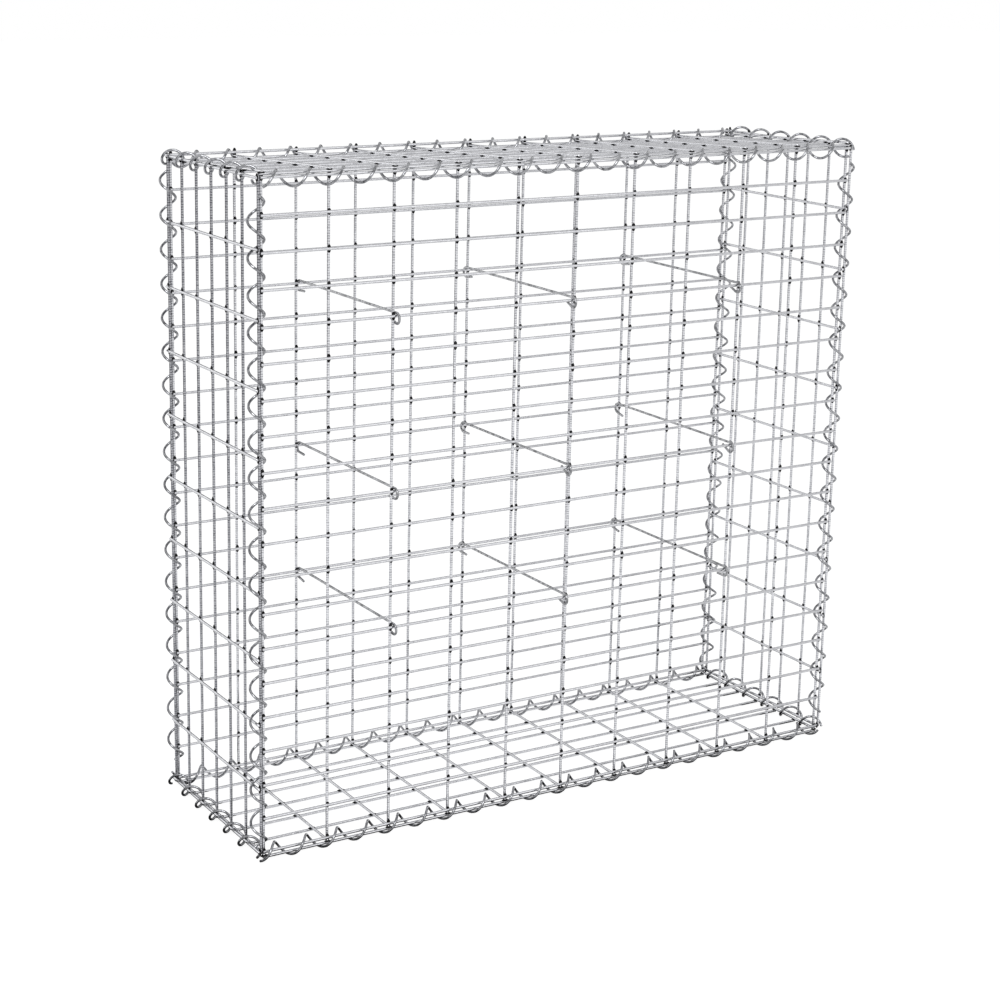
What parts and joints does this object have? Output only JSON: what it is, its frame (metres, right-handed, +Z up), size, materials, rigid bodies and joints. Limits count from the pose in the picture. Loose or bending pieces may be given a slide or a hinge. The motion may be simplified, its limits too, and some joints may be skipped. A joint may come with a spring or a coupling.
{
  "type": "gabion basket",
  "caption": "Empty box of welded steel mesh for a stone-filled wall, laced along every edge with spiral binders and braced by hooked tie wires.",
  "frame": {"origin": "centre of the basket's outline in plan, on the ground that the lower spirals stand on", "axes": "+X along the wall to the right as seen from the front, +Y through the wall from the front panel to the back panel, +Z up"},
  "size_m": [1.0354, 0.3238, 0.978],
  "materials": {
    "mesh_wire": "galvanised, satin",
    "spiral_wire": "galvanised, satin",
    "tie_wire": "galvanised, satin"
  },
  "bodies": {
    "root": {"front_panel": "mesh_wire", "back_panel": "mesh_wire", "left_end_panel": "mesh_wire", "right_end_panel": "mesh_wire", "base_panel": "mesh_wire", "lid_panel": "mesh_wire", "spiral_bottom_front": "spiral_wire", "spiral_bottom_back": "spiral_wire", "spiral_bottom_left": "spiral_wire", "spiral_bottom_right": "spiral_wire", "spiral_top_front": "spiral_wire", "spiral_top_back": "spiral_wire", "spiral_top_left": "spiral_wire", "spiral_top_right": "spiral_wire", "spiral_front_left": "spiral_wire", "spiral_front_right": "spiral_wire", "spiral_back_left": "spiral_wire", "spiral_back_right": "spiral_wire", "tie_upper_left": "tie_wire", "tie_upper_centre": "tie_wire", "tie_upper_right": "tie_wire", "tie_middle_left": "tie_wire", "tie_middle_centre": "tie_wire", "tie_middle_right": "tie_wire", "tie_lower_left": "tie_wire", "tie_lower_centre": "tie_wire", "tie_lower_right": "tie_wire"}
  },
  "joints": []
}
